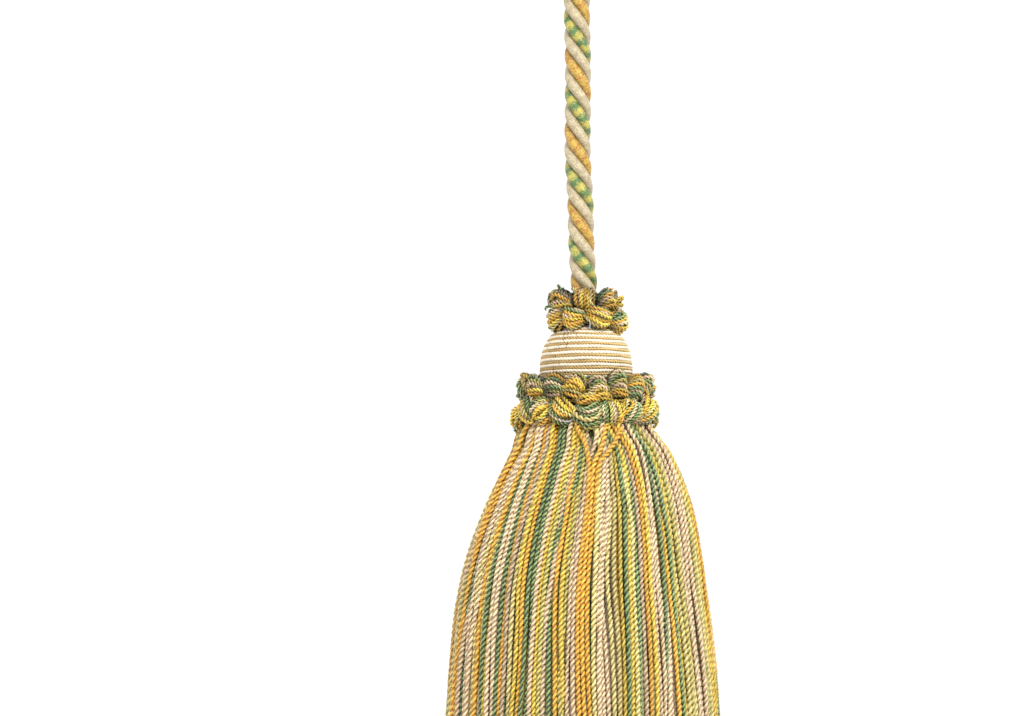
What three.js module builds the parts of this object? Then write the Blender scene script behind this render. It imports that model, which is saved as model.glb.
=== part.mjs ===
// A key tassel on a twisted cord, in millimetres, +Z up.
// The origin is the inner top of the hanging loop, where a hook or peg bears; the tassel hangs below it.
// Angles round the tassel start at its front, -Y, and grow towards +X.
import * as THREE from "three";

// ---- Driving dimensions ------------------------------------------------------------------------

const GAP = 0.3; // clear space left between neighbouring pieces
const FULL_TURN = 2 * Math.PI;

const CORD_DIAMETER = 8.7;
const CORD_SIDES = 10;
const CORD_STEPS = 56;

const BINDING_TOP = -55;
const BINDING_HEIGHT = 15;
const BINDING_WALL = 1.4;
const STANDING_SIDE = -3; // x of the cord's run to the head, inside the binding
const TAIL_SIDE = -12; // x of its turned-back end

const HEAD_RADIUS = 15.4; // the dome at its foot
const DOME_HEIGHT = 17; // from its foot to where its outline would close
const DOME_FULLNESS = 2.6; // 2 would be an ellipse; more has fuller shoulders
const DOME_FOOT = -201;
const HEAD_TOP = -184.2; // flat seat of the cord
const HEAD_SEAT_RADIUS = 4.4;
const NECK_FOOT = -220.1; // the head's straight neck ends here, just over the skirt
const WINDINGS = 12; // ribs of cord up the dome
const WINDING_RISE = 0.35; // how far each rib stands out
const HEAD_SEGMENTS = 32;

const UPPER_PETALS = 10;
const UPPER_PETAL_RISE = 1.1;
const UPPER_SEGMENTS = 60;
const LOWER_PETALS = 17;
const LOWER_PETAL_RISE = 1.0;
const LOWER_SEGMENTS = 102;

const SKIRT_TOP = NECK_FOOT - GAP;
const SKIRT_HEM = -331;
const SKIRT_SHOULDER_RADIUS = 21;
const BELL_START = -219; // depth down the bell is measured from here
const BELL_FINAL_RADIUS = 48.5; // radius that the bell tends to
const BELL_SPREAD = 25.5; // how much narrower it is at its start
const BELL_EASE = 42; // depth over which it opens
const LEAN = 1.5; // how far the bell stands to +X at LEAN_TOP, and to -X from LEAN_DEPTH below it
const LEAN_TOP = -227;
const LEAN_DEPTH = 52;
const SKIRT_LOCKS = 48; // teeth of the comb: locks of yarn round the hem
const SKIRT_SEGMENTS = 2 * SKIRT_LOCKS;
const LOCK_GROOVE = 0.9; // groove between two locks
const NOTCH_DEPTH = 3.2; // how far the comb is cut between two locks
const HEM_UNEVENNESS = 1.3;
const HEM_CROWN = 3; // the middle of the hem hangs this much lower than its edge

// ---- The cord's route, from the head up to the loop and down to its turned-back end ---------------

const CORD_ROUTE = [
  { x: 0.0, z: HEAD_TOP + GAP },
  { x: -0.6, z: -172 },
  { x: -1.5, z: -158 },
  { x: -1.9, z: -143 },
  { x: -2.8, z: -127 },
  { x: -2.7, z: -111 },
  { x: -2.7, z: -96 },
  { x: -3.0, z: -81 },
  { x: STANDING_SIDE, z: -70 },
  { x: STANDING_SIDE, z: -61 },
  { x: STANDING_SIDE, z: -53 },
  { x: 0.4, z: -43.5 },
  { x: 7.6, z: -33 },
  { x: 14.4, z: -23 },
  { x: 17.5, z: -13 },
  { x: 15.2, z: -4.4 },
  { x: 8.8, z: 2.0 },
  { x: 0.0, z: 4.35 },
  { x: -8.8, z: 2.0 },
  { x: -15.2, z: -4.4 },
  { x: -17.5, z: -13 },
  { x: -17.2, z: -23.5 },
  { x: -15.4, z: -34 },
  { x: -13.2, z: -44.5 },
  { x: TAIL_SIDE, z: -54 },
  { x: TAIL_SIDE, z: -62 },
  { x: TAIL_SIDE, z: -69.5 },
];

// ---- Sections of the two ruffs: r from the axis, z, and which row of petals swells there ----------

const UPPER_RUFF_SECTION = [
  { r: 5.5, z: -183.7, upper: 0, lower: 0 },
  { r: 8.0, z: -184.6, upper: 0, lower: 0 },
  { r: 11.0, z: -186.4, upper: 0, lower: 0 },
  { r: 12.3, z: -187.8, upper: 0, lower: 0.5 },
  { r: 13.2, z: -186.4, upper: 0, lower: 1 },
  { r: 13.0, z: -182.9, upper: 0, lower: 0.9 },
  { r: 11.2, z: -179.7, upper: 0.3, lower: 0.3 },
  { r: 11.2, z: -176.2, upper: 1, lower: 0 },
  { r: 9.8, z: -172.7, upper: 0.9, lower: 0 },
  { r: 7.4, z: -171.2, upper: 0.4, lower: 0 },
  { r: 5.5, z: -172.4, upper: 0, lower: 0 },
];

const LOWER_RUFF_SECTION = [
  { r: 16.2, z: -219.7, upper: 0, lower: 0 },
  { r: 19.4, z: -219.9, upper: 0, lower: 0 },
  { r: 22.6, z: -219.2, upper: 0, lower: 0.7 },
  { r: 24.0, z: -215.8, upper: 0, lower: 1 },
  { r: 23.4, z: -212.2, upper: 0, lower: 0.9 },
  { r: 21.6, z: -209.4, upper: 0.3, lower: 0.3 },
  { r: 22.4, z: -205.6, upper: 1, lower: 0 },
  { r: 21.4, z: -201.8, upper: 0.9, lower: 0 },
  { r: 18.6, z: -199.8, upper: 0.4, lower: 0 },
  { r: 16.2, z: -200.7, upper: 0, lower: 0 },
];

// ---- Shared shapes -------------------------------------------------------------------------------

// Turns an outline of rows round the Z axis. place gives each row's radius, height and sideways shift
// at one angle, so that petals, locks and a lean can be worked into the round form.
function turned(rows, segments, place) {
  const outline = rows.map(({ r, z }) => new THREE.Vector2(r, z));
  const geometry = new THREE.LatheGeometry(outline, segments);
  const position = geometry.getAttribute("position");
  for (let i = 0; i < position.count; i += 1) {
    const step = Math.floor(i / rows.length) % segments;
    const angle = (step / segments) * FULL_TURN;
    const { r, z, shift = 0 } = place(rows[i % rows.length], step, angle);
    position.setXYZ(i, shift + r * Math.sin(angle), -r * Math.cos(angle), z);
  }
  return geometry;
}

function dyed(colour) {
  return new THREE.MeshStandardMaterial({ color: colour, roughness: 0.7, metalness: 0 });
}

function piece(name, geometry, material) {
  const mesh = new THREE.Mesh(geometry, material);
  mesh.name = name;
  return mesh;
}

// ---- The cord and its binding --------------------------------------------------------------------

function cordGeometry() {
  const section = new THREE.Shape();
  for (let side = 0; side < CORD_SIDES; side += 1) {
    const angle = (side / CORD_SIDES) * FULL_TURN;
    const x = (CORD_DIAMETER / 2) * Math.cos(angle);
    const y = (CORD_DIAMETER / 2) * Math.sin(angle);
    if (side === 0) section.moveTo(x, y);
    else section.lineTo(x, y);
  }
  section.closePath();
  const points = CORD_ROUTE.map(({ x, z }) => new THREE.Vector3(x, 0, z));
  const route = new THREE.CatmullRomCurve3(points, false, "centripetal");
  return new THREE.ExtrudeGeometry(section, { steps: CORD_STEPS, extrudePath: route });
}

// A round-ended outline about the two runs of cord, radius away from their centres.
function aroundBothRuns(outline, radius) {
  outline.absarc(STANDING_SIDE, 0, radius, -Math.PI / 2, Math.PI / 2, false);
  outline.absarc(TAIL_SIDE, 0, radius, Math.PI / 2, (3 * Math.PI) / 2, false);
  outline.closePath();
  return outline;
}

function bindingGeometry() {
  const bore = CORD_DIAMETER / 2 + GAP;
  const sleeve = aroundBothRuns(new THREE.Shape(), bore + BINDING_WALL);
  sleeve.holes.push(aroundBothRuns(new THREE.Path(), bore));
  const settings = { depth: BINDING_HEIGHT, bevelEnabled: false, curveSegments: 10 };
  const geometry = new THREE.ExtrudeGeometry(sleeve, settings);
  return geometry.translate(0, 0, BINDING_TOP - BINDING_HEIGHT);
}

// ---- The wound head ------------------------------------------------------------------------------

function domeRadius(height) {
  const share = (height / DOME_HEIGHT) ** DOME_FULLNESS;
  return HEAD_RADIUS * Math.max(0, 1 - share) ** (1 / DOME_FULLNESS);
}

function headGeometry() {
  const rows = [
    { r: 0, z: NECK_FOOT },
    { r: HEAD_RADIUS, z: NECK_FOOT },
  ];
  const seatHeight = HEAD_TOP - DOME_FOOT;
  for (let rib = 0; rib < WINDINGS; rib += 1) {
    const valley = seatHeight * Math.sin(((rib / WINDINGS) * Math.PI) / 2);
    const crest = seatHeight * Math.sin((((rib + 0.5) / WINDINGS) * Math.PI) / 2);
    rows.push({ r: domeRadius(valley), z: DOME_FOOT + valley });
    rows.push({ r: domeRadius(crest) + WINDING_RISE, z: DOME_FOOT + crest });
  }
  rows.push({ r: HEAD_SEAT_RADIUS, z: HEAD_TOP });
  rows.push({ r: 0, z: HEAD_TOP });
  return turned(rows, HEAD_SEGMENTS, (row) => row);
}

// ---- The ruffs -----------------------------------------------------------------------------------

// A ring of two rows of petals, each row's petals standing between those of the other.
function ruffGeometry(section, petals, rise, segments) {
  const rows = [...section, section[0]];
  return turned(rows, segments, (row, step, angle) => {
    const wave = Math.cos(petals * angle);
    return { r: row.r + rise * wave * (row.upper - row.lower), z: row.z };
  });
}

// ---- The skirt -----------------------------------------------------------------------------------

function bellRadius(z) {
  return BELL_FINAL_RADIUS - BELL_SPREAD * Math.exp((z - BELL_START) / BELL_EASE);
}

// The bell stands a little fuller on +X near its top, and a little fuller on -X from its middle down.
function bellShift(z) {
  const swung = Math.min(1, Math.max(0, (LEAN_TOP - z) / LEAN_DEPTH));
  return LEAN * Math.cos(Math.PI * swung);
}

// How far one lock hangs beyond the hem: a slow swell round the skirt, and a quick one from lock to lock.
function lockLength(lock) {
  return HEM_UNEVENNESS * (0.6 * Math.sin(2.4 * lock) + 0.4 * Math.sin((3 * lock * FULL_TURN) / SKIRT_LOCKS));
}

function skirtGeometry() {
  const hemRadius = bellRadius(SKIRT_HEM);
  const bellHeights = [-224.5, -229, -236, -245, -257, -272, -290, -309, -325];
  const rows = [
    { r: 0, z: SKIRT_HEM - HEM_CROWN, groove: 0, hem: 0 },
    { r: 0.45 * hemRadius, z: SKIRT_HEM - 0.75 * HEM_CROWN, groove: 0, hem: 0.5 },
    { r: 0.88 * hemRadius, z: SKIRT_HEM, groove: 0, hem: 1 },
    { r: hemRadius, z: SKIRT_HEM, groove: 1, hem: 1 },
    ...bellHeights.reverse().map((z) => ({ r: bellRadius(z), z, groove: 1, hem: 0 })),
    { r: 24.2, z: SKIRT_TOP - 0.9, groove: 0.6, hem: 0 },
    { r: SKIRT_SHOULDER_RADIUS, z: SKIRT_TOP, groove: 0, hem: 0 },
    { r: 0, z: SKIRT_TOP, groove: 0, hem: 0 },
  ];
  return turned(rows, SKIRT_SEGMENTS, (row, step) => {
    const between = step % 2;
    const lock = Math.floor(step / 2);
    const drop = between ? -NOTCH_DEPTH : lockLength(lock);
    return {
      r: row.r - between * row.groove * LOCK_GROOVE,
      z: row.z - row.hem * drop,
      shift: row.r > SKIRT_SHOULDER_RADIUS ? bellShift(row.z) : 0,
    };
  });
}

// ---- The assembled tassel --------------------------------------------------------------------------

const tassel = new THREE.Group();
tassel.add(
  piece("cord", cordGeometry(), dyed(0xcfc08c)),
  piece("loop_binding", bindingGeometry(), dyed(0xdcc88f)),
  piece(
    "upper_ruff",
    ruffGeometry(UPPER_RUFF_SECTION, UPPER_PETALS, UPPER_PETAL_RISE, UPPER_SEGMENTS),
    dyed(0xa8935b),
  ),
  piece("head", headGeometry(), dyed(0xe0c79b)),
  piece(
    "lower_ruff",
    ruffGeometry(LOWER_RUFF_SECTION, LOWER_PETALS, LOWER_PETAL_RISE, LOWER_SEGMENTS),
    dyed(0xa6955a),
  ),
  piece("skirt", skirtGeometry(), dyed(0xbba76b)),
);

export default tassel;
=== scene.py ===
"""A key tassel on a twisted cord: its rope, wound head, plaited ruffs and skirt of two-ply yarns.

Lengths are worked out in millimetres and given to Blender in metres. The tassel hangs down -Z from
the inner top of its loop, -Y is its front and +X its right. Angles round it start at the front and
grow towards +X. Every yarn is a tube whose outline turns as it goes, as the yarn's own plies do.
"""

import logging
import math
from dataclasses import dataclass, field, replace
from enum import Enum

import bpy
import numpy as np
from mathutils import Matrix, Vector
from mathutils.kdtree import KDTree


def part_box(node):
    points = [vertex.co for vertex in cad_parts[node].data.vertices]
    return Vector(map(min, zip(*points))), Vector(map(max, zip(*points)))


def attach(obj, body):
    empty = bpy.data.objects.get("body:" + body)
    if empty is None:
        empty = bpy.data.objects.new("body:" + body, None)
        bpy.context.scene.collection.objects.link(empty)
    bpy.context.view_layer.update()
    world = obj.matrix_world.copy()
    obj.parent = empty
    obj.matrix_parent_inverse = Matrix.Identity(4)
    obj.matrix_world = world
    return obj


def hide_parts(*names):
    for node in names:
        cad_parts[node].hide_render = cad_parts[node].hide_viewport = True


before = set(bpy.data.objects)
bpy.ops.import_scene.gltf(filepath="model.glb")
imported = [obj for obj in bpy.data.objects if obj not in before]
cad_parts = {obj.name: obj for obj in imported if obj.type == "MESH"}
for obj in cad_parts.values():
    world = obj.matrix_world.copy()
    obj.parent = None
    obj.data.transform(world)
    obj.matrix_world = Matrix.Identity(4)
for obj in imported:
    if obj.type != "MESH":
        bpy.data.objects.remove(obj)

LOG = logging.getLogger("tassel")
MM = 0.001
TURN = 2 * math.pi
FRONT = np.array([0.0, -1.0, 0.0])
UP = np.array([0.0, 0.0, 1.0])

Colour = tuple[int, int, int]
Socket = bpy.types.NodeSocket
Place = tuple[float, float, float]
Waves = tuple[tuple[float, float, float], ...]  # each one's height, radians for one unit, and start


# ---- Dyes and makes of yarn -------------------------------------------------------------------


@dataclass(frozen=True)
class DyeAndPaintedLight:
    """The colours of one yarn, as display values from 0 to 255: a painted highlight for its crests and
    painted shade for its grooves, both in its own hue.
    """

    # painted highlight: the colour on the plies' crests
    crest: Colour
    # painted shade: the colour in the grooves between the plies
    groove: Colour
    depth: float = 1.0  # above 1 its painted highlights on the crests narrow and its painted shade in the grooves widens


class Dye(Enum):
    """The yarns that the tassel is made from."""

    # each yarn: its painted crest highlight, its painted groove shade, and how narrow the highlight is
    LEAF = DyeAndPaintedLight((168, 192, 122), (24, 46, 20), 2.4)
    AMBER = DyeAndPaintedLight((255, 200, 76), (158, 98, 22))
    YELLOW = DyeAndPaintedLight((255, 223, 92), (152, 116, 26))
    LIME = DyeAndPaintedLight((254, 234, 156), (136, 117, 52))
    BEIGE = DyeAndPaintedLight((253, 224, 182), (144, 113, 76))
    OLIVE = DyeAndPaintedLight((212, 198, 110), (92, 84, 34))
    CREAM_CORD = DyeAndPaintedLight((255, 246, 227), (220, 198, 158))
    GOLD_TWIST = DyeAndPaintedLight((255, 223, 147), (150, 100, 38), 1.2)
    CREAM_PLY = DyeAndPaintedLight((202, 190, 162), (202, 190, 162))
    WHIPPING = DyeAndPaintedLight((202, 184, 138), (184, 158, 108))
    SEWING_WHITE = DyeAndPaintedLight((216, 216, 222), (150, 150, 162))


LETTERS = {"g": Dye.LEAF, "a": Dye.AMBER, "y": Dye.YELLOW, "l": Dye.LIME, "b": Dye.BEIGE, "o": Dye.OLIVE}


def dyes_in(order: str) -> tuple[Dye, ...]:
    """The dyes that a row of letters stands for."""
    return tuple(LETTERS[letter] for letter in order)


def linear(colour: Colour) -> np.ndarray:
    """Turns a display colour into scene-linear values.

    Args:
        colour: red, green and blue from 0 to 255.

    Returns:
        The three linear values.
    """
    share = np.array(colour, float) / 255
    return np.where(share <= 0.04045, share / 12.92, ((share + 0.055) / 1.055) ** 2.4)


@dataclass(frozen=True)
class Outline:
    """A tube's outline: points in diameters, right-handed about its way, and how much of the painted crest
    highlight each point takes, the rest being painted groove shade.
    """

    points: tuple[tuple[float, float], ...]
    crest: tuple[float, ...]

    @staticmethod
    def round(sides: int) -> "Outline":
        """A regular outline.

        Args:
            sides: how many sides it has.

        Returns:
            The outline, taking the crest colour all round, so with no painted groove shade.
        """
        turns = [TURN * side / sides for side in range(sides)]
        return Outline(tuple((0.5 * math.cos(a), 0.5 * math.sin(a)) for a in turns), (1.0,) * sides)


# painted light: on each ply the points weighted 1 take a painted highlight, those weighted 0.5 half of it,
# and the waist points painted shade
SLIM_PAIR = Outline(
    ((0.46, -0.25), (0.46, 0.25), (0.0, 0.19), (-0.46, 0.25), (-0.46, -0.25), (0.0, -0.19)),
    (0.5, 1.0, 0.0, 0.5, 1.0, 0.0),
)
SOFT_PAIR = Outline(
    ((0.42, -0.35), (0.42, 0.35), (0.0, 0.27), (-0.42, 0.35), (-0.42, -0.35), (0.0, -0.27)),
    (0.5, 1.0, 0.0, 0.5, 1.0, 0.0),
)
# painted light: painted highlight on the plies' outer crests, painted shade in the waists between them
CLOSE_PAIR = Outline(
    (
        *((0.5, 0.0), (0.4, 0.31), (0.0, 0.36), (-0.4, 0.31)),
        *((-0.5, 0.0), (-0.4, -0.31), (0.0, -0.36), (0.4, -0.31)),
    ),
    (1.0, 0.9, 0.0, 0.9, 1.0, 0.9, 0.0, 0.9),
)


# ---- Lines and tubes --------------------------------------------------------------------------


def unit(vectors: np.ndarray) -> np.ndarray:
    """Scales vectors to length one.

    Args:
        vectors: any array whose last axis holds vectors.

    Returns:
        The same directions at length one.
    """
    return vectors / np.maximum(np.linalg.norm(vectors, axis=-1, keepdims=True), 1e-9)


def curve_through(points: np.ndarray, per_span: int, closed: bool = False) -> np.ndarray:
    """Draws a centripetal Catmull-Rom curve through points.

    Args:
        points: the points, (P, D); the first three columns set the pace.
        per_span: steps from one point to the next.
        closed: whether the last point leads back to the first.

    Returns:
        The denser points, (P', D).
    """
    if closed:
        padded = np.vstack([points[-1:], points, points[:2]])
    else:
        first = 2 * points[:1] - points[1:2]
        last = 2 * points[-1:] - points[-2:-1]
        padded = np.vstack([first, points, last])
    before, start, end, after = padded[:-3], padded[1:-2], padded[2:-1], padded[3:]
    pace = np.sqrt(np.maximum(np.linalg.norm(np.diff(padded[:, :3], axis=0), axis=1), 1e-6))[:, None]
    lead, span, trail = pace[:-2], pace[1:-1], pace[2:]
    leave = ((start - before) / lead - (end - before) / (lead + span) + (end - start) / span) * span
    reach = ((end - start) / span - (after - start) / (span + trail) + (after - end) / trail) * span
    t = (np.arange(per_span) / per_span)[None, :, None]
    start, end, leave, reach = (part[:, None, :] for part in (start, end, leave, reach))
    drawn = (
        (2 * t**3 - 3 * t**2 + 1) * start
        + (t**3 - 2 * t**2 + t) * leave
        + (3 * t**2 - 2 * t**3) * end
        + (t**3 - t**2) * reach
    ).reshape(-1, points.shape[1])
    return np.vstack([drawn, points[:1] if closed else points[-1:]])


def waves_at(waves: Waves, at: np.ndarray, phase: float = 1.0) -> np.ndarray:
    """Adds up waves.

    Args:
        waves: the waves.
        at: the places where they are read.
        phase: what their starts are multiplied by, which makes each yarn's waves its own.

    Returns:
        Their height at each place.
    """
    return sum(high * np.sin(often * at + start * phase) for high, often, start in waves)


def shared_out(values: np.ndarray, share: np.ndarray) -> np.ndarray:
    """Reads values that stand at equal shares of a length at other shares of it."""
    return np.interp(share, np.linspace(0, 1, len(values)), values)


def gap_after(angle: np.ndarray, step: int) -> np.ndarray:
    """The angle from each yarn to the one a number of places after it, from -pi to pi."""
    return (np.roll(angle, -step, 0) - angle + math.pi) % TURN - math.pi


def run_of(way: np.ndarray) -> np.ndarray:
    """The distance run at each point of a way, starting from 0."""
    return np.concatenate([[0.0], np.cumsum(np.linalg.norm(np.diff(way[:, :3], axis=0), axis=1))])


def spaced_at(way: np.ndarray, runs: np.ndarray) -> np.ndarray:
    """The points of a way at the given distances along it."""
    along = run_of(way)
    return np.stack([np.interp(runs, along, column) for column in way.T], axis=1)


def round_the_axis(angle: np.ndarray, radius: np.ndarray, z: np.ndarray) -> np.ndarray:
    """Points at angles round the tassel's axis.

    Args:
        angle: angles from the front towards +X.
        radius: distances from the axis, in mm.
        z: heights, in mm.

    Returns:
        The points, with x, y and z on a new last axis.
    """
    angle, radius, z = np.broadcast_arrays(angle, radius, z)
    return np.stack([radius * np.sin(angle), -radius * np.cos(angle), z], axis=-1)


def way_round(angle: np.ndarray, radius: np.ndarray, z: np.ndarray) -> np.ndarray:
    """Lays a way round the tassel's axis.

    Args:
        angle: angles from the front towards +X.
        radius: distances from the axis, in mm.
        z: heights, in mm.

    Returns:
        Its points and the way straight out at each, (P, 6).
    """
    outward = round_the_axis(angle, np.ones_like(z), np.zeros_like(z))
    return np.hstack([round_the_axis(angle, radius, z), outward])


def ends_of(node: str) -> tuple[float, float]:
    """The lowest and the highest z of a node, in mm."""
    low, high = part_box(node)
    return low.z / MM, high.z / MM


class Skein:
    """Tubes gathered to be made into the one mesh of a piece."""

    def __init__(self) -> None:
        """Starts an empty skein."""
        self._points: list[np.ndarray] = []
        self._dyed_and_shaded: list[np.ndarray] = []
        self._lie: list[np.ndarray] = []
        self._corners: list[np.ndarray] = []
        self._sizes: list[np.ndarray] = []
        self._slots: list[np.ndarray] = []
        self._count = 0

    def add_tube(
        self, rings: np.ndarray, dyed_and_shaded: np.ndarray, lie: np.ndarray, slot: int = 0, closed: bool = False
    ) -> None:
        """Adds one tube.

        Args:
            rings: its points in mm, by ring and by place round the ring.
            dyed_and_shaded: the linear colour at each point, painted highlight and painted shade included.
            lie: the distance along the fibres and the way round them, at each point.
            slot: which of the piece's finishes it takes.
            closed: whether its last ring leads back to its first.
        """
        count, sides = rings.shape[:2]
        index = self._count + np.arange(count * sides).reshape(count, sides)
        here = index if closed else index[:-1]
        there = np.roll(index, -1, axis=0) if closed else index[1:]
        quads = np.stack([here, np.roll(here, -1, 1), np.roll(there, -1, 1), there], axis=-1).reshape(-1, 4)
        self._corners.append(quads.ravel())
        self._sizes.append(np.full(len(quads), 4))
        faces = len(quads)
        if not closed:
            self._corners.extend([index[0, ::-1], index[-1]])
            self._sizes.append(np.array([sides, sides]))
            faces += 2
        self._points.append(rings.reshape(-1, 3))
        self._dyed_and_shaded.append(np.broadcast_to(dyed_and_shaded, rings.shape).reshape(-1, 3))
        self._lie.append(np.broadcast_to(lie, rings.shape).reshape(-1, 3))
        self._slots.append(np.full(faces, slot))
        self._count += count * sides

    def piece(self, name: str, finishes: list[bpy.types.Material]) -> bpy.types.Object:
        """Makes the skein into a piece that rides on the tassel's body.

        Args:
            name: the piece's name.
            finishes: its materials, in the order of the tubes' slots.

        Returns:
            The new object.
        """
        mesh = bpy.data.meshes.new(name)
        corners = np.concatenate(self._corners).astype(np.int32)
        sizes = np.concatenate(self._sizes).astype(np.int32)
        mesh.vertices.add(self._count)
        mesh.vertices.foreach_set("co", (np.concatenate(self._points) * MM).astype(np.float32).ravel())
        mesh.loops.add(len(corners))
        mesh.loops.foreach_set("vertex_index", corners)
        mesh.polygons.add(len(sizes))
        mesh.polygons.foreach_set("loop_start", np.concatenate([[0], np.cumsum(sizes)[:-1]]).astype(np.int32))
        mesh.polygons.foreach_set("material_index", np.concatenate(self._slots).astype(np.int32))
        mesh.update(calc_edges=True)
        dyed_and_shaded = np.concatenate(self._dyed_and_shaded)
        rgba = np.hstack([dyed_and_shaded, np.ones((len(dyed_and_shaded), 1))]).astype(np.float32)
        # the colour at each point: the yarn's hue with its painted highlight and painted shade
        mesh.attributes.new("dye_and_shading", "FLOAT_COLOR", "POINT").data.foreach_set("color", rgba.ravel())
        lie = np.concatenate(self._lie).astype(np.float32)
        mesh.attributes.new("lie", "FLOAT_VECTOR", "POINT").data.foreach_set("vector", lie.ravel())
        mesh.shade_smooth()
        for finish in finishes:
            mesh.materials.append(finish)
        made = bpy.data.objects.new(name, mesh)
        bpy.context.scene.collection.objects.link(made)
        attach(made, "root")
        return made


TWIST_WAVES: Waves = ((1.0, TURN / 13.0, 9), (0.7, TURN / 5.9, 5))  # of an uneven yarn's turn
GIRTH_WAVES: Waves = ((0.2, TURN / 21.0, 7),)  # and of its thickness
MOTTLE_WAVES: Waves = ((0.05, 0.47, 9), (0.04, 1.3, 5))  # of its brightness
FRAYED_PALENESS = 1.1  # of a cut end's fibres, beside the crests'
FIBRE_START = 50  # how far along its fibres a yarn starts, for one radian of its phase


@dataclass(frozen=True)
class Yarn:
    """How a yarn, a thread or a ply of a rope is made up."""

    diameter: float
    outline: Outline
    step: float  # from ring to ring
    lay: float = 0.0  # for one whole turn of its plies; 0 where it has none to show
    uneven: float = 0.0  # how far its twist runs ahead and falls behind, in radians

    def spin(
        self,
        skein: Skein,
        way: np.ndarray,
        dye_and_shading: Dye,
        phase: float = 0.0,
        swell: np.ndarray | None = None,
        fade: np.ndarray | None = None,
        tone: np.ndarray | float = 1.0,
        slot: int = 0,
        closed: bool = False,
    ) -> None:
        """Lays one length of the yarn along a way.

        Args:
            skein: where its tube goes.
            way: the points that its middle follows, in mm, and the way outward at each, (P, 6).
            dye_and_shading: which yarn colour it takes; its lot paints the highlight on the crests and the
                shade in the grooves.
            phase: where its plies' turn starts.
            swell: how thick it is at equal shares of its length, from end to end.
            fade: how pale it is at equal shares of its length, from end to end.
            tone: how bright it is, throughout or at equal shares of its length; callers lower it for painted
                shade, raise it for painted highlight, and vary it at random as the yarn's own tone.
            slot: which of the piece's finishes it takes.
            closed: whether it is a ring, whose way ends where it starts.
        """
        length = float(run_of(way)[-1])
        count = max(3, round(length / self.step) + 1)
        runs = np.linspace(0, length, count)
        laid = spaced_at(way, runs)
        middle, away = laid[:, :3], laid[:, 3:]
        if closed:
            along = unit(np.roll(middle[:-1], -1, 0) - np.roll(middle[:-1], 1, 0))
            middle, away, runs = middle[:-1], away[:-1], runs[:-1]
        else:
            along = unit(np.gradient(middle, axis=0))
        away = unit(away - (away * along).sum(1, keepdims=True) * along)
        aside = np.cross(along, away)
        turn = self.turned(runs, length, phase, closed)[:, None]
        share = runs / length
        scale = self.diameter * (1 + self.uneven * waves_at(GIRTH_WAVES, runs, phase))[:, None]
        if swell is not None:
            scale = scale * shared_out(swell, share)[:, None]
        a, b = np.array(self.outline.points).T
        out = scale * (a * np.cos(turn) - b * np.sin(turn))
        side = scale * (a * np.sin(turn) + b * np.cos(turn))
        rings = middle[:, None] + out[..., None] * away[:, None] + side[..., None] * aside[:, None]
        tones = np.broadcast_to(np.atleast_1d(tone), max(2, np.size(tone)))
        bright = (1 + waves_at(MOTTLE_WAVES, runs, phase)) * shared_out(tones, share)
        pale = np.zeros(len(runs)) if fade is None else shared_out(fade, share)
        round_it = np.linspace(0, TURN, len(a), endpoint=False)
        fibres = (runs + FIBRE_START * phase)[:, None]
        lie = np.stack(np.broadcast_arrays(fibres, np.cos(round_it)[None], np.sin(round_it)[None]), axis=-1)
        skein.add_tube(rings, self.dyed_and_shaded(dye_and_shading.value, bright, pale), lie, slot, closed)

    def turned(self, runs: np.ndarray, length: float, phase: float, closed: bool) -> np.ndarray:
        """Twists the plies.

        Args:
            runs: each ring's distance along the yarn.
            length: the yarn's.
            phase: where the plies' turn starts.
            closed: whether the yarn is a ring, whose plies have to meet.

        Returns:
            How far they have turned at each ring, in radians.
        """
        turns = length / self.lay if self.lay else 0.0
        if closed and self.lay:
            turns = max(1.0, round(turns))
        return phase + TURN * turns * runs / length + self.uneven * waves_at(TWIST_WAVES, runs, phase)

    def dyed_and_shaded(self, lot: DyeAndPaintedLight, bright: np.ndarray, pale: np.ndarray) -> np.ndarray:
        """Colours the yarn: its hue, with a painted highlight on the crests and painted shade in the grooves.

        Args:
            lot: the yarn's colours: its crest highlight and groove shade, both painted.
            bright: how bright each ring is.
            pale: how far each ring has gone to the paleness of a cut end.

        Returns:
            The linear colour at each point of each ring.
        """
        crest = linear(lot.crest)
        # the share of painted highlight at each point, the rest painted groove shade
        raised = np.array(self.outline.crest)[None, :, None] ** lot.depth
        dyed_and_shaded = (linear(lot.groove) * (1 - raised) + crest * raised) * bright[:, None, None]
        dyed_and_shaded = dyed_and_shaded + (crest * FRAYED_PALENESS - dyed_and_shaded) * pale[:, None, None]
        return np.clip(dyed_and_shaded, 0, 1)


# ---- Finishes ---------------------------------------------------------------------------------


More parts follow.
